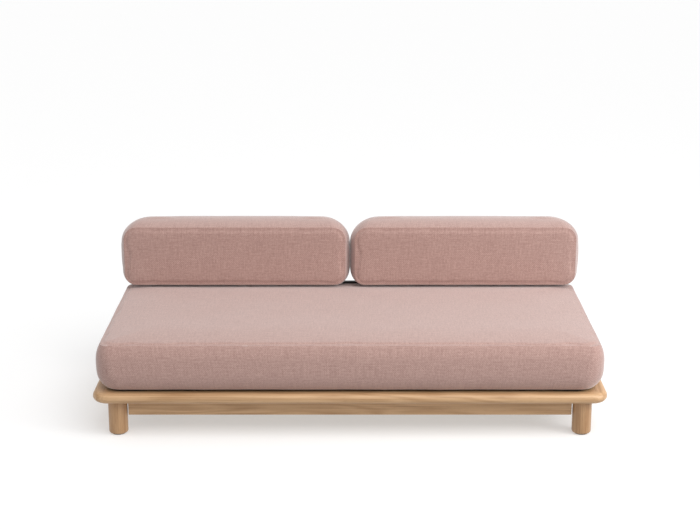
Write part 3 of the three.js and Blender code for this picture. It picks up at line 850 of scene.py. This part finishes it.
def zip_fastener(name, piece, node, direction):
    """A closed coil zip that follows the padding: its tape, two rows of teeth, and a slider with its pull."""
    low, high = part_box(node)
    middle = (low + high) / 2
    skin = piece.data
    tree = BVHTree.FromPolygons([v.co for v in skin.vertices], [p.vertices for p in skin.polygons])
    out = -Vector(direction)
    stations = np.linspace(low.x, high.x, max(2, round((high.x - low.x) / ZIP_STATION_SPACING)))

    def on_surface(x):
        start = Vector((x, middle.y, middle.z)) + out * ZIP_REACH
        place, facing, _, _ = tree.ray_cast(start, Vector(direction))
        facing = (facing - Vector((facing.x, 0, 0))).normalized()
        return place, facing

    rows = []
    for x in stations:
        place, facing = on_surface(x)
        side = facing.cross(Vector((1, 0, 0))).normalized()
        rows.append([place + side * (a * MM) + facing * (h * MM) for a, h in ZIP_PROFILE])
    count = len(ZIP_PROFILE)
    points = [p for row in rows for p in row]
    faces = []
    for r in range(len(rows) - 1):
        for k in range(count):
            a, b = r * count + k, r * count + (k + 1) % count
            faces.append((a, b, b + count, a + count))
    faces += [tuple(range(count))[::-1], tuple(range(len(points) - count, len(points)))]
    runs = [(p.x, (k % count) * 2 * MM) for k, p in enumerate(points)]
    tape = mesh_object("tape", points, faces, [runs[v] for f in faces for v in f])
    clad(tape, TAPE)
    parts = [tape]
    for number, x in enumerate(np.arange(low.x + 6 * MM, high.x - 20 * MM, TOOTH_PITCH)):
        if number % TEETH_PER_RAY == 0:
            place, facing = on_surface(x)
        else:
            place = place + Vector((TOOTH_PITCH, 0, 0))
        side = facing.cross(Vector((1, 0, 0))).normalized()
        for sign in (-1, 1):
            beside = side * (sign * TOOTH_OFFSET) + Vector((sign * TOOTH_OFFSET, 0, 0))
            centre = place + facing * TOOTH_LIFT + beside
            parts.append(box_object("tooth", centre - TOOTH_HALF_SIZE, centre + TOOTH_HALF_SIZE))
            clad(parts[-1], NYLON)
    place, facing = on_surface(high.x - SLIDER_FROM_END)
    for length, width, height, lift, shift in SLIDER_PARTS:
        size = Vector((length / 2, width / 2, width / 2)) * MM
        thick = np.array([abs(c) for c in out])
        size = Vector([height / 2 * MM if t > 0.5 else c for t, c in zip(thick, size)])
        centre = place + facing * (lift * MM) + Vector((shift * MM, 0, 0))
        parts.append(clad(box_object("slider", centre - size, centre + size, 0.4 * MM), ZINC))
    return joined(name, parts)


def upholster():
    made = mattress()
    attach(made, "mattress")
    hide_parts("mattress_cover", "mattress_core")
    fastener = zip_fastener("mattress_zip_fastener", made, "mattress_zip", (0, -1, 0))
    fasten(fastener, "mattress", "mattress_zip")
    for side in SIDES:
        name = f"backrest_{side}"
        made, bindings = back_cushion(side)
        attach(made, name)
        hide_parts(f"{name}_cover", f"{name}_foam")
        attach(bindings, name)
        fastener = zip_fastener(f"{name}_zip_fastener", made, f"{name}_zip", (0, 0, 1))
        fasten(fastener, name, f"{name}_zip")


def fasten(fastener, body, node):
    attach(fastener, body)
    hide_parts(node)


# ---------------------------------------------------------------- studio and camera


def look_at(made, place, target):
    made.location = place
    made.rotation_mode = "QUATERNION"
    made.rotation_quaternion = (Vector(target) - Vector(place)).to_track_quat("-Z", "Y")


WORLD_STRENGTH = 0.58
FLOOR_HALF_SIZE = 30
FLOOR_SHADE, FLOOR_GLOW = 0.6, 0.42
LIT_PLACE = (0.3, 0.0, 0.3)  # what both area lights face
OVERHEAD_PLACE, OVERHEAD_SIZE, OVERHEAD_POWER = (1.3, -0.4, 3.6), (3.0, 2.0), 18
SIDE_PLACE, SIDE_SIZE, SIDE_POWER = (3.6, -1.6, 1.7), (1.6, 1.6), 62
KEY_DIRECTION, KEY_STRENGTH, KEY_ANGLE = (0.5, -0.65, 1.2), 1.3, math.radians(50)

CAMERA_DISTANCE = 5.427  # in front of the bed's front edge
CAMERA_HEIGHT = 2.237
CAMERA_PITCH = math.radians(15.78)
SENSOR_WIDTH, FOCAL_LENGTH = 36.0, 77.3  # millimetres


def area_light(name, place, target, size, power):
    data = bpy.data.lights.new(name, "AREA")
    data.shape = "RECTANGLE"
    data.size, data.size_y = size
    data.energy = power
    made = bpy.data.objects.new(name, data)
    bpy.context.scene.collection.objects.link(made)
    look_at(made, place, target)


def studio():
    """A white floor and soft light. The floor glows faintly, and no diffuse light comes up from it."""
    world = bpy.data.worlds.new("studio")
    world.use_nodes = True
    background = world.node_tree.nodes["Background"]
    background.inputs["Color"].default_value = (1, 1, 1, 1)
    background.inputs["Strength"].default_value = WORLD_STRENGTH
    scene = bpy.context.scene
    scene.world = world
    scene.view_settings.view_transform = "Standard"
    corners = [(x * FLOOR_HALF_SIZE, y * FLOOR_HALF_SIZE, 0) for x, y in ((-1, -1), (1, -1), (1, 1), (-1, 1))]
    floor = mesh_object("floor", corners, [(0, 1, 2, 3)])
    paper = Look("white_paper", Roughness=0.9)
    paper.surface.inputs["Base Color"].default_value = (FLOOR_SHADE, FLOOR_SHADE, FLOOR_SHADE, 1)
    paper.surface.inputs["Emission Color"].default_value = (1, 1, 1, 1)
    paper.surface.inputs["Emission Strength"].default_value = FLOOR_GLOW
    clad(floor, paper.material)
    floor.visible_diffuse = False
    area_light("overhead", OVERHEAD_PLACE, LIT_PLACE, OVERHEAD_SIZE, OVERHEAD_POWER)
    area_light("side", SIDE_PLACE, LIT_PLACE, SIDE_SIZE, SIDE_POWER)
    data = bpy.data.lights.new("key", "SUN")
    data.energy, data.angle = KEY_STRENGTH, KEY_ANGLE
    key = bpy.data.objects.new("key", data)
    bpy.context.scene.collection.objects.link(key)
    look_at(key, KEY_DIRECTION, (0, 0, 0))


def camera():
    """The camera stands in front of the bed's middle, above head height, and looks down at it."""
    data = bpy.data.cameras.new("camera")
    data.sensor_width, data.lens = SENSOR_WIDTH, FOCAL_LENGTH
    made = bpy.data.objects.new("camera", data)
    bpy.context.scene.collection.objects.link(made)
    made.location = (0.0, BED_FRONT - CAMERA_DISTANCE, CAMERA_HEIGHT)
    made.rotation_euler = (QUARTER - CAMERA_PITCH, 0, 0)
    bpy.context.scene.camera = made


camera()
studio()
finish_hard_parts()
frame_details()
upholster()
